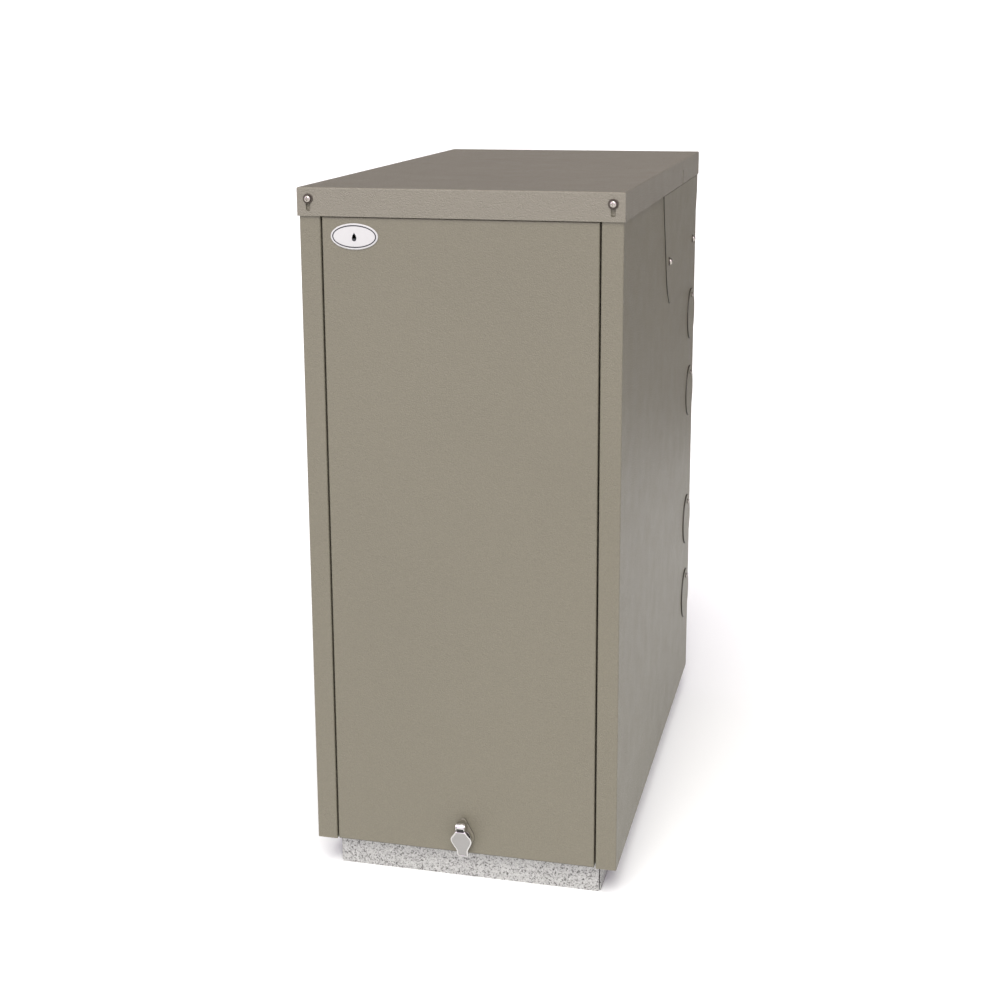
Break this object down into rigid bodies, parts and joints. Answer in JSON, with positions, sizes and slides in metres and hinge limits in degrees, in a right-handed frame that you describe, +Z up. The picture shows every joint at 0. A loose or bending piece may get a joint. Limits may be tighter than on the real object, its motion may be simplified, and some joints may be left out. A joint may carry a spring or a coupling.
{
  "type": "outdoor oil boiler module",
  "caption": "Tall weatherproof steel cabinet housing a pressure-jet oil burner and condensing heat exchanger, with lift-off lid, keyed front panel and galvanised base.",
  "frame": {"origin": "middle of the base's underside, on the ground", "axes": "+Z up, +X to the right and -Y to the viewer who faces the front panel, +Y to the rear"},
  "size_m": [0.395, 0.7163, 0.865],
  "materials": {
    "casing_paint": "leather-texture powder coat, satin",
    "galvanised": "hot-dip galvanised sheet with spangle",
    "screw_steel": "stainless, lightly polished",
    "lock_chrome": "satin chrome-plated zinc",
    "lock_zinc": "zinc-plated",
    "badge_face": "domed gloss, dark rim",
    "boiler_paint": "heat-resistant satin paint",
    "baffle_steel": "rolled steel plate, heat-tinted",
    "jacket_foil": "foil-faced mineral fibre blanket",
    "stainless": "stainless sheet",
    "flue_plastic": "moulded polypropylene",
    "rubber": "moulded EPDM",
    "copper": "drawn copper tube",
    "waste_plastic": "moulded polypropylene",
    "cap_plastic": "moulded black plastic",
    "brass": "machined brass",
    "lever_red": "red plastic",
    "gasket_fibre": "pressed ceramic fibre",
    "cast_iron": "as cast, painted",
    "cast_aluminium": "die-cast",
    "fan_steel": "zinc-plated pressed steel",
    "motor_paint": "satin black",
    "black_plastic": "moulded black plastic",
    "damper_zinc": "zinc-plated",
    "electrode_ceramic": "glazed insulator",
    "panel_grey": "smooth light grey paint"
  },
  "bodies": {
    "cabinet": {"access_cover": "boiler_paint", "air_intake": "black_plastic", "back_panel": "casing_paint", "baffles": "baffle_steel", "base_tray": "galvanised", "blast_tube": "stainless", "boiler_nuts": "screw_steel", "burner_body": "cast_aluminium", "burner_flange": "cast_iron", "casing_screws": "screw_steel", "condensate_pipe": "waste_plastic", "condensate_trap": "waste_plastic", "control_box": "black_plastic", "control_panel": "panel_grey", "diffuser": "stainless", "drain_cock": "brass", "electrodes": "electrode_ceramic", "fan_housing": "cast_aluminium", "flange_gasket": "gasket_fibre", "floor_pan": "galvanised", "flow_pipe": "copper", "flue_covers": "casing_paint", "flue_manifold": "flue_plastic", "flue_seal": "rubber", "insulation_jacket": "jacket_foil", "left_side_panel": "casing_paint", "motor": "motor_paint", "nozzle_holder": "brass", "nozzle_line": "copper", "oil_feed_pipe": "copper", "oil_inlet_pipe": "copper", "oil_pump": "cast_aluminium", "oil_valve": "brass", "pipe_covers": "casing_paint", "primary_heat_exchanger": "boiler_paint", "return_pipe": "copper", "right_side_panel": "casing_paint", "secondary_heat_exchanger": "stainless", "solenoid_coil": "black_plastic"},
    "lid": {"top_panel": "casing_paint", "lid_screws": "screw_steel"},
    "front": {"front_panel": "casing_paint", "oval_badge": "badge_face", "lock_boss": "casing_paint", "lock_housing": "lock_chrome", "flap_pin": "lock_chrome"},
    "lock": {"lock_plug": "lock_zinc", "lock_cam": "lock_zinc"},
    "flap": {"lock_flap": "lock_chrome"},
    "rotor": {"fan_impeller": "fan_steel", "motor_shaft": "fan_steel", "pump_coupling": "cap_plastic"},
    "damper": {"air_damper": "damper_zinc"},
    "burner_reset": {"reset_button": "lever_red"},
    "knob": {"thermostat_knob": "cap_plastic"},
    "rocker": {"power_switch": "cap_plastic"},
    "overheat": {"overheat_reset": "lever_red"},
    "lever": {"valve_lever": "lever_red"},
    "drain": {"drain_spindle": "brass"},
    "trap_lid": {"trap_cap": "cap_plastic"}
  },
  "joints": [
    {"name": "front_panel_off", "type": "slide", "parent": "cabinet", "child": "front", "axis": [0, -1, 0], "range_m": [0, 0.45]},
    {"name": "lid_lift", "type": "slide", "parent": "cabinet", "child": "lid", "axis": [0, 0, 1], "range_m": [0, 0.3]},
    {"name": "lock_turn", "type": "hinge", "parent": "front", "child": "lock", "pos_m": [0, -0.34, 0.066], "axis": [0, 1, 0], "range_deg": [0, 90]},
    {"name": "flap_swing", "type": "hinge", "parent": "front", "child": "flap", "pos_m": [0, -0.361, 0.0844], "axis": [-1, 0, 0], "range_deg": [0, 100], "stiffness_Nm_per_rad": 0.004, "springref_deg": -45.84},
    {"name": "fan_spin", "type": "hinge", "parent": "cabinet", "child": "rotor", "pos_m": [0, -0.2, 0.235], "axis": [1, 0, 0], "continuous": true},
    {"name": "damper_turn", "type": "hinge", "parent": "cabinet", "child": "damper", "pos_m": [0.052, -0.215, 0.157], "axis": [1, 0, 0], "range_deg": [0, 80]},
    {"name": "burner_reset_press", "type": "slide", "parent": "cabinet", "child": "burner_reset", "axis": [0, 1, 0], "range_m": [0, 0.003], "stiffness_N_per_m": 400, "springref_m": -0.003},
    {"name": "thermostat_turn", "type": "hinge", "parent": "cabinet", "child": "knob", "pos_m": [-0.096, -0.33, 0.78], "axis": [0, 1, 0], "range_deg": [-135, 135]},
    {"name": "switch_rock", "type": "hinge", "parent": "cabinet", "child": "rocker", "pos_m": [0.104, -0.32, 0.78], "axis": [-1, 0, 0], "range_deg": [0, 12]},
    {"name": "overheat_reset_press", "type": "slide", "parent": "cabinet", "child": "overheat", "axis": [0, 1, 0], "range_m": [0, 0.002], "stiffness_N_per_m": 400, "springref_m": -0.002},
    {"name": "oil_valve_turn", "type": "hinge", "parent": "cabinet", "child": "lever", "pos_m": [0.14, -0.237, 0.115], "axis": [0, 0, 1], "range_deg": [0, 90]},
    {"name": "drain_turn", "type": "hinge", "parent": "cabinet", "child": "drain", "pos_m": [0.085, -0.11, 0.138], "axis": [0, 1, 0], "range_deg": [0, 360]},
    {"name": "trap_cap_lift", "type": "slide", "parent": "cabinet", "child": "trap_lid", "axis": [0, 0, 1], "range_m": [0, 0.06]}
  ]
}
